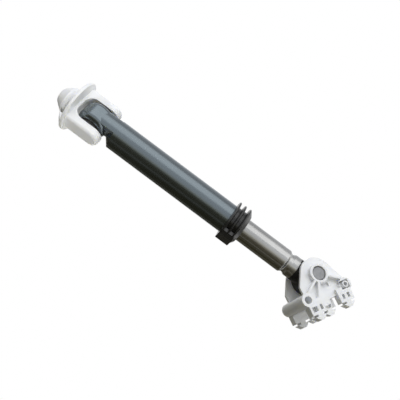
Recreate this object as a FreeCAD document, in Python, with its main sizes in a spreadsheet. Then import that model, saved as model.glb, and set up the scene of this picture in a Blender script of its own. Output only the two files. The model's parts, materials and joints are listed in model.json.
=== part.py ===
import FreeCAD, Part
import math
import os
import re
import Sketcher

# Washing machine shock absorber, a friction damper between two moulded brackets.
# Millimetres. The damper hangs along Z, with the origin on the upper flange's seat.
# The upper pin lies along X and the lower pin along Y.

doc = FreeCAD.newDocument("ShockAbsorber")
dim = doc.addObject("Spreadsheet::Sheet", "Dim")

SIZES = [
    # Pins, eyes and clearances
    ("pin_span", 239.0, "upper pin to lower pin"),
    ("pin_d", 13.0, "both pins"),
    ("pin_chamfer", 1.0, "bevel on the pin ends"),
    ("run_gap", 0.05, "radial clearance of a running fit"),
    ("press_gap", 0.02, "radial clearance of a piece pressed in"),
    ("seat_gap", 0.2, "end clearance of a seated piece"),
    ("sleeve_wall", 2.0, "steel sleeve in a bush"),
    ("bush_wall", 2.5, "rubber bush"),
    ("bush_lip", 1.0, "end flange of a bush"),
    ("eye_wall", 3.8, "upper eye round its bush"),
    ("eye_len", 20.4, "upper eye along the pin"),
    ("eye_round", 5.5, "round of the upper eye's edges"),
    ("eye_side", 2.4, "eye to an arm"),
    # Upper bracket
    ("arm_thick", 7.8, "arm along X"),
    ("arm_depth", 18.4, "arm along Y"),
    ("arm_tip", 15.3, "pin to arm tip"),
    ("tip_flat", 0.4, "half of the flat on the arm tip"),
    ("arm_soft", 3.0, "soft long edges of the arms"),
    ("eye_head", 2.0, "eye to the crotch"),
    ("crotch_flat", 3.9, "half of the flat in the crotch"),
    ("crotch_wall", 2.2, "crotch to flange"),
    ("blind_wall", 2.6, "wall beyond the pin in the blind arm"),
    ("flange_rim", 2.6, "flange beyond the corners of the arms"),
    ("flange_thick", 3.0, "flange thickness"),
    ("flange_soft", 0.8, "round of the flange rim"),
    ("spigot_d", 26.0, "spigot"),
    ("spigot_len", 8.6, "straight part of the spigot"),
    ("nose_len", 8.0, "tapered part of the spigot"),
    ("nose_taper", 6.4, "how much the spigot's radius tapers"),
    ("nose_soft", 3.0, "round of the spigot's end"),
    ("catch_gap", 4.4, "spigot to the catch on the flange"),
    ("catch_rise", 4.8, "catch above the flange"),
    ("catch_width", 10.0, "catch along Y"),
    # Housing tube with its eye
    ("tube_wall", 1.6, "housing wall"),
    ("tube_end", 147.8, "upper pin to tube mouth"),
    ("neck_d", 12.6, "neck below the eye"),
    ("neck_rise", 0.9, "eye to the neck's narrow end"),
    ("shoulder_len", 6.3, "neck to full tube diameter"),
    ("end_wall", 4.0, "shoulder to the closed end of the bore"),
    ("gusset_left", 6.8, "gusset between eye and tube, from the axis to its -X side"),
    ("gusset_right", 9.6, "that gusset, from the axis to its +X side"),
    ("gusset_back", 2.0, "gusset beyond the axis"),
    # Friction unit
    ("lining_wall", 1.4, "rod to housing bore"),
    ("ring_thick", 1.2, "retaining ring"),
    ("ring_reach", 0.8, "retaining ring groove depth"),
    ("ring_bite", 0.7, "how far the retaining ring stands into the bore"),
    ("ring_mouth", 1.4, "opening of the retaining ring"),
    ("guide_len", 4.0, "guide bush"),
    ("lining_len", 7.0, "one friction lining"),
    ("spacer_len", 1.5, "ring between the linings"),
    ("buffer_len", 3.5, "rebound buffer"),
    ("buffer_gap", 0.48, "rebound buffer to rod"),
    ("bump_len", 8.0, "bump stop"),
    ("bump_hole", 6.0, "hole in the bump stop"),
    # Ribbed cap
    ("cap_sleeve", 5.3, "cap sleeve inside the bore"),
    ("cap_step", 0.2, "cap between the ribs, beyond the tube"),
    ("cap_rib_rise", 5.0, "ribs beyond the tube"),
    ("cap_rib_pitch", 5.45, "rib to rib"),
    ("cap_rib_root", 3.2, "rib width at the root"),
    ("cap_rib_tip", 1.8, "rib width at the tip"),
    ("cap_rib_soft", 0.6, "bevel of the rib tips"),
    ("cap_nose_len", 4.0, "last rib to the end of the nose"),
    ("cap_lug_rise", 5.6, "lug over the ribs, beyond the tube"),
    ("cap_lug_width", 17.0, "lug along Y"),
    ("cap_lug_soft", 3.2, "bevel of the lug"),
    ("rod_clear", 0.35, "rod to the rings that do not guide it"),
    ("wiper_len", 2.8, "wiper seal"),
    ("wiper_wall", 1.7, "wiper seal wall"),
    ("wiper_inset", 1.4, "nose end to wiper seal"),
    # Rod
    ("rod_d", 22.0, "rod tube"),
    ("rod_wall", 1.5, "rod wall"),
    ("rod_top", 86.0, "upper pin to the rod's inner end"),
    ("rod_foot", 3.0, "rod's outer end to the lower eye"),
    ("groove_up", 8.6, "rod's outer end to the rolled groove"),
    ("groove_deep", 1.75, "rolled groove"),
    ("groove_flat", 1.4, "bottom of the rolled groove"),
    ("groove_flank", 2.4, "one flank of the rolled groove"),
    ("bulge_drop", 0.3, "rod wall drawn in below the groove"),
    ("roll_round", 1.6, "round of the rolled edges"),
    # Plug, piston ring and clip
    ("plug_len", 12.0, "plug inside the rod"),
    ("collar_thick", 2.0, "collar on the rod's inner end"),
    ("spindle_d", 14.0, "spindle"),
    ("piston_len", 6.0, "piston ring"),
    ("piston_gap", 0.08, "piston ring to bore"),
    ("clip_thick", 1.2, "clip"),
    ("clip_rise", 1.8, "clip beyond the spindle"),
    ("clip_bite", 0.8, "clip groove depth"),
    ("spindle_end", 0.8, "spindle beyond the clip"),
    # Lower eye
    ("rod_eye_wall", 2.0, "lower eye round its bush"),
    ("rod_eye_len", 20.4, "lower eye along the pin"),
    ("rod_eye_soft", 1.5, "round of the lower eye's edges"),
    ("shank_len", 18.0, "shank inside the rod"),
    # Lower bracket
    ("swing_deg", 32.0, "swing of the lower bracket in the rest pose"),
    ("low_arm", 7.2, "lower arm along Y, over its ribs"),
    ("web_thick", 2.7, "web of a lower arm"),
    ("hood_rad", 15.6, "round head of the arms"),
    ("pin_ring_wall", 2.1, "ring round the pin"),
    ("boss_rad", 6.0, "cross boss, and the round end at the screw post"),
    ("boss_side", 22.1, "pin to the cross boss, along the base"),
    ("post_side", 19.2, "pin to the screw post, along the base"),
    ("boss_drop", 17.3, "pin to both of them, downwards"),
    ("arm_side", 21.4, "pin to the straight side of the arms above the cross boss"),
    ("boss_hole_d", 6.8, "hole in the cross boss"),
    ("post_hole_d", 3.6, "screw hole"),
    ("post_wall", 1.1, "screw post round its hole"),
    ("rib_thick", 1.9, "ribs of the arms"),
    ("base_thick", 4.9, "base between the bosses"),
    ("base_step", 1.4, "base beyond the webs"),
    ("left_foot_in", 9.9, "pin to the near side of the foot under the cross boss"),
    ("left_foot_out", 24.5, "pin to the far side of that foot"),
    ("right_foot_in", 7.2, "pin to the near side of the foot under the screw post"),
    ("right_foot_out", 21.4, "pin to the far side of that foot"),
    ("foot_len", 8.0, "foot below the base"),
    ("barb_neck", 1.6, "neck above the barb"),
    ("barb_neck_half", 2.6, "half width of that neck"),
    ("barb_half", 5.8, "half width of the barb"),
    ("barb_tip_half", 1.6, "half width of the barb's tip"),
    ("barb_len", 3.8, "barb"),
    ("slot_wide", 2.5, "narrow slots in the feet, along the base"),
    ("slot_broad", 5.2, "broad slot under the cross boss, along the base"),
    ("slot_high", 4.2, "slots in the feet, downwards"),
    ("slot_deep", 5.6, "slots in the feet, inwards"),
    ("slot_drop", 1.1, "base to slot"),
    ("slot_bar", 2.9, "bar between two slots"),
    ("tab_gap", 0.6, "half round tab to a foot"),
    ("tab_side", 5.0, "pin to that tab, along the base"),
    ("tab_slot", 2.8, "slot in that tab, downwards"),
    ("tab_slot_half", 3.6, "half width of that slot at its top"),
    ("tab_slot_low", 2.0, "half width of that slot at its bottom"),
    ("recess_left", 0.8, "pin to the recess under it, one side"),
    ("recess_right", 6.2, "pin to that recess's other side"),
    ("recess_high", 3.6, "that recess, downwards"),
    ("recess_wall", 0.8, "web behind that recess"),
    ("pocket_in", 5.4, "screw post to its pocket's side, inwards"),
    ("pocket_out", 3.7, "screw post to its pocket's side, outwards"),
    ("pocket_deep", 6.0, "depth of the pocket round the screw post"),
]
# Sizes that follow from those above
DERIVED = {
    "bush_bore": "(pin_d + 2 * sleeve_wall)",
    "bush_d": "(bush_bore + 2 * bush_wall)",
    "bush_flange_d": "(bush_bore + 2 * bush_lip)",
    "eye_d": "(bush_d + 2 * eye_wall)",
    "rod_eye_d": "(bush_d + 2 * rod_eye_wall)",
    "fork_gap": "(eye_len + 2 * eye_side)",
    "fork_width": "(fork_gap + 2 * arm_thick)",
    "seat_to_pin": "(flange_thick + crotch_wall + eye_head + eye_d / 2)",
    "flange_d": "(2 * hypot(fork_width / 2; arm_depth / 2) + 2 * flange_rim)",
    "tube_bore": "(rod_d + 2 * lining_wall)",
    "tube_d": "(tube_bore + 2 * tube_wall)",
    "neck_drop": "(eye_d / 2 + neck_rise)",
    "shoulder_drop": "(neck_drop + shoulder_len)",
    "bore_top": "(shoulder_drop + end_wall)",
    "rod_end": "(pin_span - rod_eye_d / 2 - rod_foot)",
    "groove_at": "(rod_end - groove_up)",
    "low_gap": "(rod_eye_len + 2 * eye_side)",
    "low_width": "(low_gap + 2 * low_arm)",
    "pin_ring_rad": "(pin_d / 2 + pin_ring_wall)",
    "post_rad": "(post_hole_d / 2 + post_wall)",
    "tab_rad": "(left_foot_in - tab_side - tab_gap)",
}
for row, (name, value, note) in enumerate(SIZES, start=1):
    dim.set("A%d" % row, note)
    dim.set("B%d" % row, str(value))
    dim.setAlias("B%d" % row, name)
doc.recompute()


def bound(text):
    """An expression on the sheet: every size name has an underscore."""
    def cell(found):
        name = found.group(0)
        return bound(DERIVED[name]) if name in DERIVED else "Dim." + name
    return re.sub(r"[a-z]+(?:_[a-z]+)+", cell, text)


def number(text):
    return float(dim.evalExpression(bound(text)))


def bind(thing, prop, text):
    thing.setExpression(prop, bound(text))


# Heights on the axis, measured down from the flange seat.
UPPER_PIN = "-seat_to_pin"
LOWER_PIN = "(-seat_to_pin - pin_span)"


def below(distance):
    """Height of a point that lies this far below the upper pin."""
    return "(-seat_to_pin - (%s))" % distance


def new_body(label):
    body = doc.addObject("PartDesign::Body", label)
    body.Label = label
    return body


def plane_sketch(body, role, offset=None):
    plane = next(item for item in body.Origin.OriginFeatures if item.Role == role)
    sketch = body.newObject("Sketcher::SketchObject", body.Label + "_sketch")
    sketch.AttachmentSupport = (plane, [""])
    sketch.MapMode = "FlatFace"
    if offset is not None:
        bind(sketch, "AttachmentOffset.Base.z", offset)
    return sketch


def fix_point(sketch, geometry, point, place):
    """Dimension a point from the sketch origin, along both axes."""
    for kind, text in zip(("DistanceX", "DistanceY"), place):
        rule = Sketcher.Constraint(kind, -1, 1, geometry, point, number(text))
        bind(sketch, "Constraints[%d]" % sketch.addConstraint(rule), text)


def add_polygon(sketch, points):
    """Closed outline through points given as pairs of expressions."""
    ends = [FreeCAD.Vector(number(x), number(y), 0) for x, y in points]
    lines = [sketch.addGeometry(Part.LineSegment(a, b), False)
             for a, b in zip(ends, ends[1:] + ends[:1])]
    for line, following in zip(lines, lines[1:] + lines[:1]):
        sketch.addConstraint(Sketcher.Constraint("Coincident", line, 2, following, 1))
    for line, place in zip(lines, points):
        fix_point(sketch, line, 1, place)


def add_circle(sketch, centre, radius):
    middle = FreeCAD.Vector(number(centre[0]), number(centre[1]), 0)
    ring = Part.Circle(middle, FreeCAD.Vector(0, 0, 1), number(radius))
    circle = sketch.addGeometry(ring, False)
    fix_point(sketch, circle, 3, centre)
    rule = Sketcher.Constraint("Radius", circle, number(radius))
    bind(sketch, "Constraints[%d]" % sketch.addConstraint(rule), radius)


def add_belt(sketch, wheels):
    """Outline of a belt round circles, given anticlockwise as (x, y, radius)."""
    middles = [(number(x), number(y), number(r)) for x, y, r in wheels]
    count = len(middles)
    leave = []
    for (ax, ay, ar), (bx, by, br) in zip(middles, middles[1:] + middles[:1]):
        along = math.atan2(by - ay, bx - ax)
        leave.append(along - math.acos((ar - br) / math.hypot(bx - ax, by - ay)))
    spots = [(x + r * math.cos(leave[i]), y + r * math.sin(leave[i]))
             for i, (x, y, r) in enumerate(middles)]
    land = [(x + r * math.cos(leave[i - 1]), y + r * math.sin(leave[i - 1]))
            for i, (x, y, r) in enumerate(middles)]
    arcs = []
    for i, (x, y, r) in enumerate(middles):
        ring = Part.Circle(FreeCAD.Vector(x, y, 0), FreeCAD.Vector(0, 0, 1), r)
        arcs.append(sketch.addGeometry(Part.ArcOfCircle(ring, leave[i - 1], leave[i]), False))
    lines = [sketch.addGeometry(Part.LineSegment(FreeCAD.Vector(*spots[i], 0),
                                                 FreeCAD.Vector(*land[(i + 1) % count], 0)), False)
             for i in range(count)]
    for i, (x, y, r) in enumerate(wheels):
        fix_point(sketch, arcs[i], 3, (x, y))
        rule = Sketcher.Constraint("Radius", arcs[i], number(r))
        bind(sketch, "Constraints[%d]" % sketch.addConstraint(rule), r)
        sketch.addConstraint(Sketcher.Constraint("Tangent", arcs[i], 2, lines[i], 1))
        sketch.addConstraint(Sketcher.Constraint("Tangent", lines[i], 2, arcs[(i + 1) % count], 1))


def add_flute(sketch, left, right, radius, back):
    """Outline with straight sides and back, and a round front of the given radius about the origin."""
    near, far, size, rear = number(left), number(right), number(radius), number(back)
    front = [FreeCAD.Vector(x, -math.sqrt(size ** 2 - x ** 2), 0) for x in (-near, far)]
    ends = [front[1], FreeCAD.Vector(far, rear, 0), FreeCAD.Vector(-near, rear, 0), front[0]]
    lines = [sketch.addGeometry(Part.LineSegment(a, b), False) for a, b in zip(ends, ends[1:])]
    ring = Part.Circle(FreeCAD.Vector(), FreeCAD.Vector(0, 0, 1), size)
    start, stop = (math.atan2(point.y, point.x) for point in front)
    arc = sketch.addGeometry(Part.ArcOfCircle(ring, start, stop), False)
    for line, following in zip(lines, lines[1:]):
        sketch.addConstraint(Sketcher.Constraint("Coincident", line, 2, following, 1))
    sketch.addConstraint(Sketcher.Constraint("Coincident", lines[2], 2, arc, 1))
    sketch.addConstraint(Sketcher.Constraint("Coincident", arc, 2, lines[0], 1))
    fix_point(sketch, lines[1], 1, (right, back))
    fix_point(sketch, lines[1], 2, ("-(%s)" % left, back))
    sketch.addConstraint(Sketcher.Constraint("Vertical", lines[0]))
    sketch.addConstraint(Sketcher.Constraint("Vertical", lines[2]))
    sketch.addConstraint(Sketcher.Constraint("Coincident", arc, 3, -1, 1))
    rule = Sketcher.Constraint("Radius", arc, size)
    bind(sketch, "Constraints[%d]" % sketch.addConstraint(rule), radius)


def draw(body, role, outlines, offset=None):
    """A sketch from outlines: a list is a polygon, and a word names one of the others."""
    makers = {"circle": add_circle, "belt": add_belt, "flute": add_flute}
    sketch = plane_sketch(body, role, offset)
    for outline in outlines:
        if outline[0] in makers:
            makers[outline[0]](sketch, *outline[1:])
        else:
            add_polygon(sketch, outline)
    return sketch


def volume(body):
    return body.Shape.Volume if body.Tip else 0.0


def grown(body, before, more):
    """Recompute, and stop if the last feature did not add or take material."""
    doc.recompute()
    change = body.Shape.Volume - before
    if (change <= 0) if more else (change >= 0):
        raise RuntimeError("%s: %s changed nothing" % (body.Label, body.Tip.Name))


def pad(body, role, outlines, length, offset=None, reverse=False):
    """Extrude both ways from the plane, or one way from an offset plane."""
    before = volume(body)
    sketch = draw(body, role, outlines, offset)
    feature = body.newObject("PartDesign::Pad", body.Label + "_pad")
    feature.Profile = sketch
    feature.SideType = "Symmetric" if offset is None else "One side"
    feature.Reversed = reverse
    bind(feature, "Length", length)
    grown(body, before, True)
    return feature


def pocket(body, role, outlines, length, offset=None, reverse=False):
    before = volume(body)
    sketch = draw(body, role, outlines, offset)
    feature = body.newObject("PartDesign::Pocket", body.Label + "_pocket")
    feature.Profile = sketch
    feature.SideType = "Symmetric" if offset is None else "One side"
    feature.Reversed = reverse
    bind(feature, "Length", length)
    grown(body, before, False)
    return feature


def turn(body, outline):
    """Revolve a profile of (radius, height) pairs about Z."""
    before = volume(body)
    sketch = draw(body, "XZ_Plane", [outline])
    feature = body.newObject("PartDesign::Revolution", body.Label + "_turn")
    feature.Profile = sketch
    feature.ReferenceAxis = (sketch, ["V_Axis"])
    feature.Angle = 360
    grown(body, before, True)
    return feature


def dress(body, kind, size, chooser):
    """Fillet or Chamfer on the edges of the tip that the chooser picks."""
    base = body.Tip
    names = ["Edge%d" % i for i, edge in enumerate(base.Shape.Edges, start=1) if chooser(edge)]
    if not names:
        raise RuntimeError("%s: no edge to dress" % body.Label)
    feature = body.newObject("PartDesign::" + kind, body.Label + "_" + kind.lower())
    feature.Base = (base, names)
    bind(feature, "Radius" if kind == "Fillet" else "Size", size)
    doc.recompute()
    if "Invalid" in feature.State:
        raise RuntimeError("%s: %s of %s failed" % (body.Label, kind, size))
    return feature


NEAR = 1e-4


def ring_edge(radius, height=None):
    """Chooser for round edges about Z with this radius, at this height if one is given."""
    size = number(radius)
    level = None if height is None else number(height)

    def chosen(edge):
        curve = edge.Curve
        if not isinstance(curve, Part.Circle) or abs(abs(curve.Axis.z) - 1) > NEAR:
            return False
        return abs(curve.Radius - size) < NEAR and (level is None or abs(curve.Center.z - level) < NEAR)
    return chosen


def ends_of_barrel(radius, half, direction):
    """Chooser for the end edges of a barrel that lies along a direction through the axis."""
    size = number(radius)
    reach = number(half)

    def chosen(edge):
        curve = edge.Curve
        if not isinstance(curve, Part.Circle) or abs(abs(curve.Axis.dot(direction)) - 1) > NEAR:
            return False
        return abs(curve.Radius - size) < NEAR and abs(abs(curve.Center.dot(direction)) - reach) < NEAR
    return chosen


def box(left, right, low, high):
    return [(left, low), (right, low), (right, high), (left, high)]


ALONG_X = FreeCAD.Vector(1, 0, 0)
ALONG_Y = FreeCAD.Vector(0, 1, 0)


def collar(label, inner, outer, low, high):
    """A plain ring about Z between two heights."""
    body = new_body(label)
    turn(body, box(inner, outer, low, high))
    return body


def make_upper_bracket():
    body = new_body("upper_bracket")
    half_gap = "fork_gap / 2"
    half_width = "fork_width / 2"
    tip = "(-seat_to_pin - arm_tip)"
    crotch = "(-flange_thick - crotch_wall)"
    root = "-flange_thick / 2"
    pad(body, "XZ_Plane", [[
        ("-(%s)" % half_width, tip), ("-(%s)" % half_gap, tip), ("-(%s)" % half_gap, crotch),
        (half_gap, crotch), (half_gap, tip), (half_width, tip),
        (half_width, root), ("-(%s)" % half_width, root)]], "arm_depth")
    corner = number(half_gap)
    top = number(crotch)
    low = number(tip)
    side = number(half_width)
    dress(body, "Fillet", "fork_gap / 2 - crotch_flat", lambda edge: edge.BoundBox.XLength < NEAR
          and abs(abs(edge.BoundBox.XMin) - corner) < NEAR and abs(edge.BoundBox.ZMin - top) < NEAR)
    dress(body, "Fillet", "arm_depth / 2 - tip_flat", lambda edge: edge.BoundBox.XLength > NEAR
          and abs(edge.BoundBox.ZMax - low) < NEAR)
    dress(body, "Fillet", "arm_soft", lambda edge: edge.BoundBox.XLength < NEAR
          and abs(abs(edge.BoundBox.XMin) - side) < NEAR and edge.BoundBox.ZMax < number(root) - NEAR)
    spigot = "spigot_d / 2"
    nose = "spigot_d / 2 - nose_taper"
    top = "spigot_len + nose_len"
    turn(body, [("0", "-flange_thick"), ("flange_d / 2", "-flange_thick"), ("flange_d / 2", "0"),
                (spigot, "0"), (spigot, "spigot_len"), (nose, top), ("0", top)])
    dress(body, "Fillet", "flange_soft", ring_edge("flange_d / 2"))
    dress(body, "Fillet", "nose_soft", ring_edge(nose))
    inner = "-(spigot_d / 2 + catch_gap)"
    outer = "-(flange_d / 2 - flange_soft)"
    pad(body, "XZ_Plane", [[(outer, "-flange_soft"), (inner, "-flange_soft"), (inner, "catch_rise"),
                            (inner + " - flange_soft", "catch_rise"), (outer, "0")]], "catch_width")
    pocket(body, "YZ_Plane", [("circle", ("0", UPPER_PIN), "pin_d / 2 + press_gap")],
           "fork_width - blind_wall", offset="-fork_width / 2 + blind_wall", reverse=True)
    return body


def make_upper_pin():
    body = new_body("upper_pin")
    pad(body, "YZ_Plane", [("circle", ("0", UPPER_PIN), "pin_d / 2")],
        "fork_width - blind_wall - 2 * seat_gap", offset="-fork_width / 2 + blind_wall + seat_gap")
    dress(body, "Chamfer", "pin_chamfer", lambda edge: isinstance(edge.Curve, Part.Circle))
    return body


def make_housing_tube():
    body = new_body("housing_tube")
    groove = stack_level("ring")
    turn(body, [("0", below("0")), ("neck_d / 2", below("0")), ("neck_d / 2", below("neck_drop")),
                ("tube_d / 2", below("shoulder_drop")), ("tube_d / 2", below("tube_end")),
                ("tube_bore / 2", below("tube_end")),
                ("tube_bore / 2", "(%s)" % groove),
                ("tube_bore / 2 + ring_reach", "(%s)" % groove),
                ("tube_bore / 2 + ring_reach", "(%s + ring_thick + seat_gap)" % groove),
                ("tube_bore / 2", "(%s + ring_thick + seat_gap)" % groove),
                ("tube_bore / 2", below("bore_top")), ("0", below("bore_top"))])
    pad(body, "YZ_Plane", [("circle", ("0", UPPER_PIN), "eye_d / 2")], "eye_len")
    dress(body, "Fillet", "eye_round", ends_of_barrel("eye_d / 2", "eye_len / 2", ALONG_X))
    pad(body, "XY_Plane", [("flute", "gusset_left", "gusset_right", "tube_d / 2", "gusset_back")],
        "shoulder_drop", offset=below("shoulder_drop"))
    pocket(body, "YZ_Plane", [("circle", ("0", UPPER_PIN), "bush_d / 2")], "eye_len * 2")
    return body


def make_bush(label, role, height, eye_len, gap):
    """Rubber bush in an eye, with end flanges that fill the space to the arms."""
    body = new_body(label)
    pad(body, role, [("circle", ("0", height), "bush_d / 2 - press_gap")], eye_len)
    pad(body, role, [("circle", ("0", height), "bush_flange_d / 2")], "%s - 2 * seat_gap" % gap)
    pocket(body, role, [("circle", ("0", height), "bush_bore / 2")], gap)
    return body


def make_sleeve(label, role, height, gap):
    body = new_body(label)
    pad(body, role, [("circle", ("0", height), "bush_bore / 2 - press_gap"),
                     ("circle", ("0", height), "pin_d / 2 + run_gap")], "%s - 2 * seat_gap" % gap)
    return body


STACK = [("outer", "lining_len"), ("spacer", "spacer_len"), ("inner", "lining_len"),
         ("guide", "guide_len"), ("ring", "ring_thick + seat_gap"), ("buffer", "buffer_len")]


def stack_level(piece):
    """Height of the lower face of a piece stacked on the cap's sleeve."""
    level = below("tube_end") + " + cap_sleeve"
    for name, length in STACK:
        if name == piece:
            return level
        level += " + " + length
    raise KeyError(piece)


def make_friction_unit():
    bore = "tube_bore / 2 - press_gap"
    shaft = "rod_d / 2 + run_gap"
    for label, piece, length, inner in (
            ("lining_outer", "outer", "lining_len", shaft),
            ("lining_spacer", "spacer", "spacer_len", "rod_d / 2 + rod_clear"),
            ("lining_inner", "inner", "lining_len", shaft),
            ("guide_bush", "guide", "guide_len", shaft),
            ("rebound_buffer", "buffer", "buffer_len", "rod_d / 2 + buffer_gap")):
        low = stack_level(piece)
        collar(label, inner, bore, low, "%s + %s" % (low, length))
    low = stack_level("ring")
    body = collar("retaining_ring", "tube_bore / 2 - ring_bite", "tube_bore / 2 + ring_reach - run_gap",
                  low, low + " + ring_thick")
    pocket(body, "XY_Plane", [box("0", "tube_d", "-ring_mouth / 2", "ring_mouth / 2")], "ring_thick * 2",
           offset=low, reverse=True)
    collar("bump_stop", "bump_hole / 2", bore, below("bore_top + bump_len"), below("bore_top"))


def make_end_cap():
    body = new_body("end_cap")
    groove = "tube_d / 2 + cap_step"
    crest = "tube_d / 2 + cap_rib_rise"
    first = "tube_end + cap_rib_root / 2"
    last = first + " + 2 * cap_rib_pitch"
    nose = "(%s + cap_nose_len)" % last
    bore = "rod_d / 2 + rod_clear"
    outline = [("tube_bore / 2 - press_gap", below("tube_end - cap_sleeve")),
               ("tube_bore / 2 - press_gap", below("tube_end"))]
    for rib in range(3):
        middle = first + " + %d * cap_rib_pitch" % rib
        outline.append((groove, below(middle + " - cap_rib_root / 2")))
        outline.append((crest + " - cap_rib_soft", below(middle + " - cap_rib_tip / 2")))
        outline.append((crest, below(middle + " - cap_rib_tip / 2 + cap_rib_soft")))
        outline.append((crest, below(middle + " + cap_rib_tip / 2 - cap_rib_soft")))
        outline.append((crest + " - cap_rib_soft", below(middle + " + cap_rib_tip / 2")))
        if rib < 2:
            outline.append((groove, below(middle + " + cap_rib_root / 2")))
    seat = "rod_d / 2 + run_gap + wiper_wall + press_gap"
    outline += [("tube_d / 2", below(nose)), (bore, below(nose)),
                (bore, below(nose + " - wiper_inset")), (seat, below(nose + " - wiper_inset")),
                (seat, below(nose + " - wiper_inset - wiper_len - seat_gap")),
                (bore, below(nose + " - wiper_inset - wiper_len - seat_gap")),
                (bore, below("tube_end - cap_sleeve"))]
    turn(body, outline)
    lug_side = "-(tube_d / 2 + cap_lug_rise)"
    lug_half = "cap_lug_width / 2"
    lug_root = "-tube_d / 2 + tube_wall / 2"
    lug_end = "(cap_rib_root + cap_rib_tip) / 4"
    lug_bevel = lug_side + " + cap_lug_soft"
    pad(body, "XY_Plane", [[(lug_root, "-" + lug_half), (lug_bevel, "-" + lug_half),
                            (lug_side, "-%s + cap_lug_soft" % lug_half),
                            (lug_side, lug_half + " - cap_lug_soft"),
                            (lug_bevel, lug_half), (lug_root, lug_half)]],
        "2 * cap_rib_pitch + 2 * %s" % lug_end, offset=below("%s + %s" % (last, lug_end)))
    collar("wiper_seal", "rod_d / 2 + run_gap", "rod_d / 2 + run_gap + wiper_wall",
           below(nose + " - wiper_inset"), below(nose + " - wiper_inset - wiper_len"))
    return body


def rolled(radius):
    """Points of a wall of this radius that follows the rolled groove, from the top down."""
    half = "groove_flat / 2"
    groove = radius + " - groove_deep"
    bulge = radius + " - bulge_drop"
    return [(radius, below("groove_at - %s - groove_flank" % half)),
            (groove, below("groove_at - %s" % half)), (groove, below("groove_at + %s" % half)),
            (bulge, below("groove_at + %s + groove_flank" % half)), (bulge, below("rod_end"))]


def make_rod_tube():
    body = new_body("rod_tube")
    outside = rolled("rod_d / 2")
    inside = rolled("rod_d / 2 - rod_wall")
    turn(body, [("rod_d / 2", below("rod_top"))] + outside + inside[::-1]
         + [("rod_d / 2 - rod_wall", below("rod_top"))])
    for radius, height in outside[:4]:
        dress(body, "Fillet", "roll_round", ring_edge(radius, height))
    return body


def make_rod_eye():
    body = new_body("rod_eye")
    inside = "rod_d / 2 - rod_wall - press_gap"
    neck = "rod_d / 2 - bulge_drop"
    turn(body, [("0", below("rod_end - shank_len")), (inside, below("rod_end - shank_len"))]
         + rolled(inside) + [(neck, below("rod_end")), (neck, below("pin_span")), ("0", below("pin_span"))])
    pad(body, "XZ_Plane", [("circle", ("0", LOWER_PIN), "rod_eye_d / 2")], "rod_eye_len")
    dress(body, "Fillet", "rod_eye_soft", ends_of_barrel("rod_eye_d / 2", "rod_eye_len / 2", ALONG_Y))
    pocket(body, "XZ_Plane", [("circle", ("0", LOWER_PIN), "bush_d / 2")], "rod_eye_len * 2")
    return body


def make_plug_and_piston():
    bore = "rod_d / 2 - rod_wall - press_gap"
    collar_top = below("rod_top") + " + collar_thick"
    clip_low = collar_top + " + piston_len + 2 * seat_gap"
    clip_top = clip_low + " + clip_thick + seat_gap"
    spindle = "spindle_d / 2"
    neck = "spindle_d / 2 - clip_bite"
    body = new_body("rod_plug")
    turn(body, [("0", below("rod_top + plug_len")), (bore, below("rod_top + plug_len")),
                (bore, below("rod_top")), ("rod_d / 2", below("rod_top")), ("rod_d / 2", collar_top),
                (spindle, collar_top), (spindle, clip_low), (neck, clip_low), (neck, clip_top),
                (spindle, clip_top), (spindle, clip_top + " + spindle_end"),
                ("0", clip_top + " + spindle_end")])
    collar("piston_ring", "spindle_d / 2 + run_gap", "tube_bore / 2 - piston_gap",
           collar_top + " + seat_gap", collar_top + " + seat_gap + piston_len")
    clip = collar("piston_clip", neck + " + press_gap", spindle + " + clip_rise", clip_low,
                  clip_low + " + clip_thick")
    pocket(clip, "XY_Plane", [box("0", "rod_d", "-spindle_d / 4", "spindle_d / 4")], "clip_thick * 2",
           offset=clip_low, reverse=True)


def make_lower_pin():
    body = new_body("lower_pin")
    pad(body, "XZ_Plane", [("circle", ("0", "0"), "pin_d / 2")], "low_width - 2 * pin_chamfer")
    dress(body, "Chamfer", "pin_chamfer", lambda edge: isinstance(edge.Curve, Part.Circle))
    return body


def rib_between(start, finish):
    """A rib of the arms' rib thickness, from start to finish, as a four-sided outline."""
    (ax, az), (bx, bz) = start, finish
    run = math.hypot(number(bx) - number(ax), number(bz) - number(az))
    across = (number(bz) - number(az)) / run
    along = (number(bx) - number(ax)) / run
    side_x = "%.6f * rib_thick" % (across / 2)
    side_z = "%.6f * rib_thick" % (along / 2)
    return [("%s + %s" % (ax, side_x), "%s - %s" % (az, side_z)),
            ("%s + %s" % (bx, side_x), "%s - %s" % (bz, side_z)),
            ("%s - %s" % (bx, side_x), "%s + %s" % (bz, side_z)),
            ("%s - %s" % (ax, side_x), "%s + %s" % (az, side_z))]


def both_faces(body, outlines, depth):
    """Pockets of one depth, sunk from the outer faces of both lower arms."""
    pocket(body, "XZ_Plane", outlines, depth, offset="low_width / 2")
    pocket(body, "XZ_Plane", outlines, depth, offset="-low_width / 2", reverse=True)


def barb(middle, feet_low, neck_low):
    """Outline of a barb that hangs from a foot by a neck."""
    neck_top = feet_low + " + rib_thick"
    return [(middle + " - barb_neck_half", neck_top), (middle + " - barb_neck_half", neck_low),
            (middle + " - barb_half", neck_low), (middle + " - barb_tip_half", neck_low + " - barb_len"),
            (middle + " + barb_tip_half", neck_low + " - barb_len"), (middle + " + barb_half", neck_low),
            (middle + " + barb_neck_half", neck_low), (middle + " + barb_neck_half", neck_top)]


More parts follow.
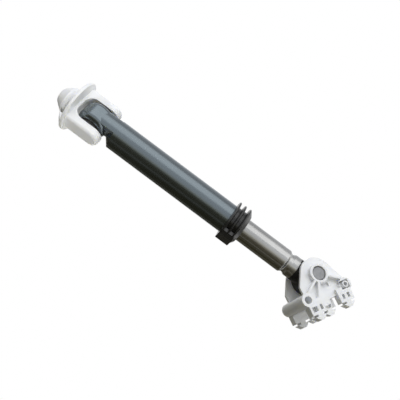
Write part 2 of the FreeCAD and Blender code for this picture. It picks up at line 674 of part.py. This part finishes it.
def make_lower_bracket():
    """Drawn hanging straight, with the pin along Y through the origin."""
    body = new_body("lower_bracket")
    base = "(-boss_drop - boss_rad)"
    base_top = "(%s + base_thick)" % base
    feet_low = "(%s - foot_len)" % base
    left = ("-boss_side", "-boss_drop")
    right = ("post_side", "-boss_drop")
    tab = ("-tab_side", "(%s - tab_rad)" % base)
    across = "boss_side * 4"
    # Webs of the arms, the ring round the pin and the ribs, as one block that the gap then opens
    wheels = [("0", "0", "hood_rad"), (*left, "boss_rad"), (*right, "boss_rad")]
    pad(body, "XZ_Plane", [("belt", wheels)], "low_gap + 2 * web_thick")
    pad(body, "XZ_Plane", [("circle", ("0", "0"), "pin_ring_rad")], "low_width")
    ring_side = "pin_ring_rad - rib_thick"
    ribs = [(("-(%s)" % ring_side, "-pin_ring_rad / 2"), ("-boss_side", "-boss_drop + boss_rad / 2")),
            (("-pin_ring_rad / 2", "-(%s)" % ring_side), ("-boss_side + 3 * boss_rad / 2", base)),
            ((ring_side, "-pin_ring_rad / 2"), ("post_side", "-boss_drop + boss_rad - rib_thick / 2"))]
    for start, finish in ribs:
        pad(body, "XZ_Plane", [rib_between(start, finish)], "low_width")
    pocket(body, "YZ_Plane", [box("-low_gap / 2", "low_gap / 2", base_top, "hood_rad * 2")], across)
    # A recess under the pin, and the straight side of the arms above the cross boss
    recess_top = "-(pin_ring_rad + rib_thick / 2)"
    both_faces(body, [box("-recess_left", "recess_right", recess_top + " - recess_high", recess_top)],
               "low_arm - recess_wall")
    pocket(body, "XZ_Plane", [box("-boss_side * 2", "-arm_side", "-boss_drop", "0")], "low_width * 2")
    # Base and cross boss, then the feet, which stand proud of the base
    base_width = "low_gap + 2 * web_thick + 2 * base_step"
    pad(body, "XZ_Plane", [box("-boss_side", "post_side", base, base_top)], base_width)
    pad(body, "XZ_Plane", [("circle", left, "boss_rad")], "low_width")
    feet = (("-left_foot_out", "-left_foot_in"), ("right_foot_in", "right_foot_out"))
    pad(body, "XZ_Plane", [box(*sides, feet_low, base_top) for sides in feet], "low_width")
    pad(body, "XZ_Plane", [("circle", right, "boss_rad")], "low_width")
    # The screw post stands in a pocket of its own
    both_faces(body, [box("post_side - pocket_in", "post_side + pocket_out",
                          "-boss_drop - pocket_out", "-boss_drop + pocket_out")], "pocket_deep")
    pad(body, "XZ_Plane", [("circle", right, "post_rad")], "low_width")
    # A half round tab beside the left foot, and barbs below the feet and the tab
    sunk = "(%s + base_thick / 2)" % base
    pad(body, "XZ_Plane", [box("-tab_side - tab_rad", "-tab_side + tab_rad", tab[1], sunk)], base_width)
    pad(body, "XZ_Plane", [("circle", tab, "tab_rad")], base_width)
    neck_low = "(%s - barb_neck)" % feet_low
    pad(body, "XZ_Plane", [barb("(%s + %s) / 2" % sides, feet_low, neck_low) for sides in feet], "low_width")
    pad(body, "XZ_Plane", [barb("-tab_side", feet_low, neck_low)], base_width)
    below_feet = neck_low + " - 2 * barb_len"
    pocket(body, "YZ_Plane", [box("-low_gap / 2", "low_gap / 2", below_feet, base)], across)
    # A slot through the tab, and two in the outer face of each foot
    pocket(body, "XZ_Plane", [[("-tab_side - tab_slot_low", tab[1] + " - tab_slot"),
                               ("-tab_side + tab_slot_low", tab[1] + " - tab_slot"),
                               ("-tab_side + tab_slot_half", tab[1]),
                               ("-tab_side - tab_slot_half", tab[1])]], "low_width")
    slot_top = "(%s - slot_drop)" % base
    slot_low = slot_top + " - slot_high"
    slots = []
    for sides, widths in zip(feet, (("slot_broad", "slot_wide"), ("slot_wide", "slot_wide"))):
        first = "(%s + %s) / 2 - (%s + slot_bar + %s) / 2" % (*sides, *widths)
        second = "%s + %s + slot_bar" % (first, widths[0])
        slots.append(box(first, "%s + %s" % (first, widths[0]), slot_low, slot_top))
        slots.append(box(second, "%s + %s" % (second, widths[1]), slot_low, slot_top))
    both_faces(body, slots, "slot_deep")
    # Holes for the pin, the cross boss and the screw
    pocket(body, "XZ_Plane", [("circle", ("0", "0"), "pin_d / 2 + press_gap"),
                              ("circle", left, "boss_hole_d / 2"),
                              ("circle", right, "post_hole_d / 2")], "low_width * 2")
    return body


def hang(body):
    """Put a piece drawn about the lower pin in its place, swung as in the rest pose."""
    body.Placement = FreeCAD.Placement(FreeCAD.Vector(), FreeCAD.Rotation(ALONG_Y, number("swing_deg")))
    bind(body, "Placement.Base.z", LOWER_PIN)
    bind(body, "Placement.Rotation.Angle", "swing_deg")


make_upper_bracket()
make_upper_pin()
make_housing_tube()
make_bush("upper_bush", "YZ_Plane", UPPER_PIN, "eye_len", "fork_gap")
make_sleeve("upper_sleeve", "YZ_Plane", UPPER_PIN, "fork_gap")
make_friction_unit()
make_end_cap()
make_rod_tube()
make_rod_eye()
make_plug_and_piston()
make_bush("lower_bush", "XZ_Plane", LOWER_PIN, "rod_eye_len", "low_gap")
make_sleeve("lower_sleeve", "XZ_Plane", LOWER_PIN, "low_gap")
hang(make_lower_pin())
hang(make_lower_bracket())
doc.recompute()

bodies = [item for item in doc.Objects if item.TypeId == "PartDesign::Body"]
for item in doc.Objects:
    if "Invalid" in item.State or "Error" in item.State:
        raise RuntimeError("%s failed: %s" % (item.Name, item.State))
for body in bodies:
    if body.Shape.isNull() or not body.Shape.isValid():
        raise RuntimeError("%s has no valid shape" % body.Label)

os.makedirs("parts", exist_ok=True)
for body in bodies:
    body.Shape.exportStep("parts/%s.step" % body.Label)
    print("%-16s %2d solid  %10.1f mm3" % (body.Label, len(body.Shape.Solids), body.Shape.Volume))
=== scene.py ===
import json
import math

import bpy
from mathutils import Matrix, Vector

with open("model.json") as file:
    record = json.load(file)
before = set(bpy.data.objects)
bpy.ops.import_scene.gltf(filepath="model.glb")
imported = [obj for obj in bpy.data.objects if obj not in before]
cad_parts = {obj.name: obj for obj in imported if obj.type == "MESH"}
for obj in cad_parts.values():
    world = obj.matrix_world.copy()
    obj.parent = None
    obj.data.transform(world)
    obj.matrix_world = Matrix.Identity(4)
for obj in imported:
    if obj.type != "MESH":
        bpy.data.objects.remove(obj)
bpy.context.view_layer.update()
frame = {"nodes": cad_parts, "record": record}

# The line of sight is square to the damper's axis and turned this far from the lower pin.
TURN_FROM_PIN = math.radians(30)
LOOK = Vector((math.sin(TURN_FROM_PIN), math.cos(TURN_FROM_PIN), 0.0))
DOWN_AXIS = Vector((0.0, 0.0, -1.0))
LOWER_LEFT = LOOK.cross(DOWN_AXIS)
# In the picture the axis runs this far to the right and this far down.
AXIS_IN_PICTURE = (0.80078, 0.59896)
PICTURE_RIGHT = AXIS_IN_PICTURE[0] * DOWN_AXIS - AXIS_IN_PICTURE[1] * LOWER_LEFT
PICTURE_UP = -(AXIS_IN_PICTURE[1] * DOWN_AXIS + AXIS_IN_PICTURE[0] * LOWER_LEFT)
# The points that the camera and the lamps are set up around.
MIDDLE = Vector((0.0, 0.0, -0.140)) + 0.0015 * LOWER_LEFT
FORK = Vector((0.0, 0.0, -0.012))

# The lens and the sensor are measured in millimetres, the rest of the scene in metres.
LENS = 50.0
SENSOR_WIDTH = 36.0
CAMERA_DISTANCE = 0.5
NEAREST_DEPTH = 0.01

FLOOR_LEVEL = -1.3
FLOOR_REACH = 2.4
FLOOR_COLOUR = (0.80, 0.79, 0.74)
FLOOR_ROUGHNESS = 0.9

SOFT_BOX_DISTANCE = 1.0
FORK_LAMP_DISTANCE = 0.6
FORK_LAMP_CONE = math.radians(10)
FORK_LAMP_FADE = 0.6
FORK_LAMP_SIZE = 0.06
FORK_LAMP_COLOUR = (1.0, 0.995, 0.98)

WHITE = (1.0, 1.0, 1.0)
# The paper behind the damper fades out between these cosines of the angle from the line of sight.
PAPER_EDGE = (0.86, 0.94)
# The room's light across the damper, from the lower left of the picture at -1 to its upper right at 1.
SHADE = (0.044, 0.040, 0.022)
ROOM_BANDS = [
    (-1.0, SHADE),
    (-0.88, SHADE),
    (-0.81, (0.24, 0.23, 0.205)),
    (-0.74, SHADE),
    (-0.50, (0.060, 0.053, 0.029)),
    (-0.15, (0.10, 0.092, 0.06)),
    (-0.06, (0.62, 0.59, 0.46)),
    (0.12, (0.715, 0.73, 0.76)),
    (0.5, (0.725, 0.74, 0.77)),
    (1.0, (0.465, 0.47, 0.485)),
]

# A noise texture's values lie between these for the most part.
NOISE_LOW = 0.3
NOISE_HIGH = 0.7


def opaque(colour):
    """The colour with full cover, as the sockets want it."""
    return (*colour, 1.0)


def set_camera():
    """Camera square to the damper's axis, rolled so that the axis lies across the picture."""
    camera = bpy.data.objects.new("camera", bpy.data.cameras.new("camera"))
    bpy.context.collection.objects.link(camera)
    camera.data.sensor_width = SENSOR_WIDTH
    camera.data.lens = LENS
    camera.data.clip_start = NEAREST_DEPTH
    place = MIDDLE - CAMERA_DISTANCE * LOOK
    turn = Matrix((PICTURE_RIGHT, PICTURE_UP, -LOOK)).transposed().to_4x4()
    camera.matrix_world = Matrix.Translation(place) @ turn
    bpy.context.scene.camera = camera


def hang(lamp, target, direction, distance, mirrored):
    """Hang the lamp off the target, facing it. It shows in shiny skins only if it is mirrored."""
    holder = bpy.data.objects.new(lamp.name, lamp)
    bpy.context.collection.objects.link(holder)
    toward = direction.normalized()
    facing = (-toward).to_track_quat("-Z", "Y").to_matrix().to_4x4()
    holder.matrix_world = Matrix.Translation(target + distance * toward) @ facing
    holder.visible_glossy = mirrored


def soft_box(name, direction, width, length, watts, mirrored=False):
    """Studio lamp for the whole damper, with its length upright."""
    lamp = bpy.data.lights.new(name, "AREA")
    lamp.shape = "RECTANGLE"
    lamp.size = width
    lamp.size_y = length
    lamp.energy = watts
    hang(lamp, MIDDLE, direction, SOFT_BOX_DISTANCE, mirrored)


def fork_lamp(direction, watts):
    """Lamp with a narrow cone for the fork, which reaches no further than the top of the tube."""
    lamp = bpy.data.lights.new("fork_lamp", "SPOT")
    lamp.spot_size = FORK_LAMP_CONE
    lamp.spot_blend = FORK_LAMP_FADE
    lamp.shadow_soft_size = FORK_LAMP_SIZE
    lamp.energy = watts
    lamp.color = FORK_LAMP_COLOUR
    hang(lamp, FORK, direction, FORK_LAMP_DISTANCE, mirrored=False)


def combined(tree, operation, first, second):
    """The two values put together by one arithmetic node."""
    node = tree.nodes.new("ShaderNodeMath")
    node.operation = operation
    tree.links.new(first, node.inputs[0])
    tree.links.new(second, node.inputs[1])
    return node.outputs["Value"]


def mapped(tree, value, start, stop, low=0.0, high=1.0):
    """A number that goes from low to high as the value goes from start to stop."""
    node = tree.nodes.new("ShaderNodeMapRange")
    node.inputs["From Min"].default_value = start
    node.inputs["From Max"].default_value = stop
    node.inputs["To Min"].default_value = low
    node.inputs["To Max"].default_value = high
    tree.links.new(value, node.inputs["Value"])
    return node.outputs["Result"]


def along(tree, direction):
    """How far a ray of the world points in the direction: 1 along it, -1 against it."""
    coordinates = tree.nodes.new("ShaderNodeTexCoord")
    node = tree.nodes.new("ShaderNodeVectorMath")
    node.operation = "DOT_PRODUCT"
    node.inputs[1].default_value = direction
    tree.links.new(coordinates.outputs["Generated"], node.inputs[0])
    return node.outputs["Value"]


def ray_kinds(tree):
    """Two values: 1 for rays from the camera, and 1 for rays that a skin has mirrored or let through."""
    rays = tree.nodes.new("ShaderNodeLightPath")
    skin = combined(tree, "MAXIMUM", rays.outputs["Is Glossy Ray"], rays.outputs["Is Transmission Ray"])
    return rays.outputs["Is Camera Ray"], skin


def chosen(tree, value, first, second):
    """The first shader where the value is 0 and the second where it is 1."""
    node = tree.nodes.new("ShaderNodeMixShader")
    tree.links.new(value, node.inputs["Fac"])
    tree.links.new(first, node.inputs[1])
    tree.links.new(second, node.inputs[2])
    return node.outputs["Shader"]


def set_world():
    """White paper to the camera and, behind the damper, to its shiny skins; elsewhere a room in bands."""
    world = bpy.data.worlds.new("studio")
    bpy.context.scene.world = world
    world.use_nodes = True
    tree = world.node_tree
    tree.nodes.clear()
    ramp = tree.nodes.new("ShaderNodeValToRGB")
    steps = ramp.color_ramp.elements
    for place, colour in ROOM_BANDS[1:-1]:
        steps.new((place + 1.0) / 2.0).color = opaque(colour)
    steps[0].color = opaque(ROOM_BANDS[0][1])
    steps[len(steps) - 1].color = opaque(ROOM_BANDS[-1][1])
    across = mapped(tree, along(tree, -LOWER_LEFT), -1.0, 1.0)
    tree.links.new(across, ramp.inputs["Fac"])
    room = tree.nodes.new("ShaderNodeBackground")
    tree.links.new(ramp.outputs["Color"], room.inputs["Color"])
    paper = tree.nodes.new("ShaderNodeBackground")
    paper.inputs["Color"].default_value = opaque(WHITE)
    camera_ray, skin_ray = ray_kinds(tree)
    behind = mapped(tree, along(tree, LOOK), PAPER_EDGE[0], PAPER_EDGE[1])
    paper_in_skin = combined(tree, "MULTIPLY", skin_ray, behind)
    sees_paper = combined(tree, "MAXIMUM", camera_ray, paper_in_skin)
    light = chosen(tree, sees_paper, room.outputs["Background"], paper.outputs["Background"])
    output = tree.nodes.new("ShaderNodeOutputWorld")
    tree.links.new(light, output.inputs["Surface"])


def floor_paper():
    """Pale paper that the camera and shiny skins see as pure white, as in the photograph."""
    paper = bpy.data.materials.new("floor_paper")
    paper.use_nodes = True
    tree = paper.node_tree
    shader = tree.nodes["Principled BSDF"]
    shader.inputs["Base Color"].default_value = opaque(FLOOR_COLOUR)
    shader.inputs["Roughness"].default_value = FLOOR_ROUGHNESS
    glow = tree.nodes.new("ShaderNodeEmission")
    glow.inputs["Color"].default_value = opaque(WHITE)
    camera_ray, skin_ray = ray_kinds(tree)
    sees_white = combined(tree, "MAXIMUM", camera_ray, skin_ray)
    surface = chosen(tree, sees_white, shader.outputs["BSDF"], glow.outputs["Emission"])
    tree.links.new(surface, tree.nodes["Material Output"].inputs["Surface"])
    return paper


def lay_floor():
    """Square floor far below the damper, which throws some light up at it."""
    half = FLOOR_REACH / 2.0
    corners = [(-half, -half, FLOOR_LEVEL), (half, -half, FLOOR_LEVEL),
               (half, half, FLOOR_LEVEL), (-half, half, FLOOR_LEVEL)]
    mesh = bpy.data.meshes.new("floor")
    mesh.from_pydata(corners, [], [(0, 1, 2, 3)])
    mesh.materials.append(floor_paper())
    floor = bpy.data.objects.new("floor", mesh)
    bpy.context.collection.objects.link(floor)


class Finish:
    """A material under construction, with short calls for the nodes that the finishes share."""

    def __init__(self, name):
        self.material = bpy.data.materials.new(name)
        self.material.use_nodes = True
        self.tree = self.material.node_tree
        self.shader = self.tree.nodes["Principled BSDF"]
        self.coordinates = self.tree.nodes.new("ShaderNodeTexCoord").outputs["Object"]

    def grain(self, scale, detail=3.0):
        """Noise that is the same in every direction."""
        return self.noise(self.coordinates, scale, detail)

    def drawn_grain(self, scales, detail):
        """Noise drawn out along the axis whose scale is the smallest."""
        mapping = self.tree.nodes.new("ShaderNodeMapping")
        mapping.inputs["Scale"].default_value = scales
        self.tree.links.new(self.coordinates, mapping.inputs["Vector"])
        return self.noise(mapping.outputs["Vector"], scale=1.0, detail=detail)

    def noise(self, coordinates, scale, detail):
        """The noise texture itself."""
        texture = self.tree.nodes.new("ShaderNodeTexNoise")
        texture.inputs["Scale"].default_value = scale
        texture.inputs["Detail"].default_value = detail
        self.tree.links.new(coordinates, texture.inputs["Vector"])
        return texture.outputs["Fac"]

    def colour(self, noise, first, second):
        """Let the base colour go from first to second with the noise."""
        ramp = self.tree.nodes.new("ShaderNodeValToRGB")
        ramp.color_ramp.elements[0].position = NOISE_LOW
        ramp.color_ramp.elements[0].color = opaque(first)
        ramp.color_ramp.elements[1].position = NOISE_HIGH
        ramp.color_ramp.elements[1].color = opaque(second)
        self.tree.links.new(noise, ramp.inputs["Fac"])
        self.tree.links.new(ramp.outputs["Color"], self.shader.inputs["Base Color"])

    def roughness(self, noise, low, high):
        """Let the roughness go from low to high with the noise."""
        value = mapped(self.tree, noise, NOISE_LOW, NOISE_HIGH, low, high)
        self.tree.links.new(value, self.shader.inputs["Roughness"])

    def bump(self, noise, strength, depth):
        """Let the noise raise and sink the skin."""
        node = self.tree.nodes.new("ShaderNodeBump")
        node.inputs["Strength"].default_value = strength
        node.inputs["Distance"].default_value = depth
        self.tree.links.new(noise, node.inputs["Height"])
        self.tree.links.new(node.outputs["Normal"], self.shader.inputs["Normal"])

    def use(self, socket, value):
        """Set one socket of the shader to a plain value."""
        self.shader.inputs[socket].default_value = value


def moulded_white():
    """White acetal: faint cloudy flow of the melt, fine spark-eroded grain."""
    finish = Finish("moulded_white")
    finish.colour(finish.grain(scale=70.0, detail=4.0), (0.81, 0.82, 0.83), (0.86, 0.872, 0.885))
    finish.roughness(finish.grain(scale=900.0), low=0.38, high=0.5)
    finish.use("Subsurface Weight", 0.35)
    finish.use("Subsurface Radius", (1.0, 0.95, 0.78))
    finish.use("Subsurface Scale", 0.004)
    finish.bump(finish.grain(scale=2600.0, detail=2.0), strength=0.05, depth=0.0002)
    return finish.material


def tube_black():
    """Glossy black plastic of the tube: a polished skin with faint lengthwise marks of the mould."""
    finish = Finish("tube_black")
    marks = finish.drawn_grain((500.0, 500.0, 8.0), detail=3.0)
    finish.colour(finish.grain(scale=90.0), (0.006, 0.0066, 0.007), (0.012, 0.013, 0.0138))
    finish.roughness(marks, low=0.24, high=0.30)
    finish.use("IOR", 1.95)
    finish.use("Specular IOR Level", 1.0)
    finish.use("Specular Tint", opaque((0.73, 0.90, 1.0)))
    finish.use("Coat Weight", 1.0)
    finish.use("Coat Roughness", 0.25)
    finish.bump(marks, strength=0.03, depth=0.0001)
    return finish.material


def cap_rubber():
    """Hard black rubber of the ribbed cap, with a satin sheen and a fine grain."""
    finish = Finish("cap_rubber")
    finish.colour(finish.grain(scale=220.0, detail=5.0), (0.012, 0.012, 0.012), (0.026, 0.026, 0.025))
    finish.roughness(finish.grain(scale=500.0), low=0.20, high=0.28)
    finish.use("Specular IOR Level", 0.6)
    finish.bump(finish.grain(scale=1500.0), strength=0.10, depth=0.0003)
    return finish.material


def plated_steel():
    """Zinc plated steel tube: smooth lengthwise polishing and a faint cloudy passivation."""
    finish = Finish("plated_steel")
    polish = finish.drawn_grain((420.0, 420.0, 3.0), detail=2.0)
    finish.colour(finish.grain(scale=60.0, detail=4.0), (0.48, 0.48, 0.47), (0.54, 0.54, 0.53))
    finish.use("Metallic", 1.0)
    finish.roughness(polish, low=0.22, high=0.40)
    finish.bump(polish, strength=0.16, depth=0.0001)
    return finish.material


def eye_black():
    """Black glass-filled plastic of the lower eye."""
    finish = Finish("eye_black")
    finish.colour(finish.grain(scale=150.0), (0.009, 0.009, 0.009), (0.018, 0.018, 0.018))
    finish.roughness(finish.grain(scale=700.0), low=0.32, high=0.46)
    finish.use("Specular IOR Level", 0.35)
    finish.bump(finish.grain(scale=1800.0), strength=0.06, depth=0.0002)
    return finish.material


def pin_steel():
    """Cold-headed steel with a dull, slightly pitted face."""
    finish = Finish("pin_steel")
    finish.colour(finish.grain(scale=300.0), (0.24, 0.245, 0.25), (0.31, 0.315, 0.32))
    finish.use("Metallic", 1.0)
    finish.roughness(finish.grain(scale=800.0), low=0.38, high=0.52)
    finish.bump(finish.grain(scale=2000.0), strength=0.06, depth=0.0002)
    return finish.material


def spring_steel():
    """Dark oiled spring steel."""
    finish = Finish("spring_steel")
    finish.colour(finish.grain(scale=500.0), (0.20, 0.20, 0.205), (0.32, 0.32, 0.325))
    finish.use("Metallic", 1.0)
    finish.roughness(finish.grain(scale=900.0), low=0.28, high=0.42)
    return finish.material


def bush_rubber():
    """Dull soft rubber."""
    finish = Finish("bush_rubber")
    finish.colour(finish.grain(scale=400.0), (0.02, 0.02, 0.02), (0.042, 0.042, 0.04))
    finish.roughness(finish.grain(scale=900.0), low=0.62, high=0.82)
    finish.bump(finish.grain(scale=1600.0), strength=0.14, depth=0.0003)
    return finish.material


def greased_felt():
    """Friction lining: matted fibres soaked with grease."""
    finish = Finish("greased_felt")
    fibres = finish.drawn_grain((2600.0, 2600.0, 700.0), detail=8.0)
    finish.colour(fibres, (0.24, 0.18, 0.09), (0.52, 0.43, 0.26))
    finish.roughness(fibres, low=0.5, high=0.85)
    finish.bump(fibres, strength=0.3, depth=0.0006)
    return finish.material


def inner_plastic():
    """Dark plastic of the pieces inside the tube."""
    finish = Finish("inner_plastic")
    finish.colour(finish.grain(scale=250.0), (0.06, 0.06, 0.06), (0.11, 0.11, 0.11))
    finish.roughness(finish.grain(scale=900.0), low=0.42, high=0.58)
    return finish.material


def ring_plastic():
    """Ivory low-friction plastic of the piston ring."""
    finish = Finish("ring_plastic")
    finish.colour(finish.grain(scale=250.0), (0.66, 0.63, 0.54), (0.76, 0.74, 0.67))
    finish.roughness(finish.grain(scale=900.0), low=0.36, high=0.5)
    return finish.material


FINISHES = {
    "white_plastic": moulded_white(),
    "housing_black": tube_black(),
    "cap_black": cap_rubber(),
    "plated_steel": plated_steel(),
    "eye_black": eye_black(),
    "pin_steel": pin_steel(),
    "spring_steel": spring_steel(),
    "bush_rubber": bush_rubber(),
    "lining_felt": greased_felt(),
    "inner_plastic": inner_plastic(),
    "ring_plastic": ring_plastic(),
}
for entry in frame["record"]["subparts"]:
    solid = frame["nodes"][entry["node"]]
    for slot in solid.material_slots:
        slot.material = FINISHES[entry["material_slot"]]

lay_floor()
set_world()
soft_box("key", direction=Vector((0.46, -0.86, 0.22)), width=0.35, length=0.35, watts=2.4)
soft_box("back", direction=Vector((-0.05, 0.97, -0.25)), width=0.5, length=0.5, watts=4.6)
soft_box("strip", direction=Vector((0.55, -0.835, 0.0)), width=0.85, length=2.2, watts=4.9, mirrored=True)
fork_lamp(direction=Vector((-0.86, -0.33, -0.38)), watts=11.0)
set_camera()

bpy.context.scene.view_settings.view_transform = "Standard"
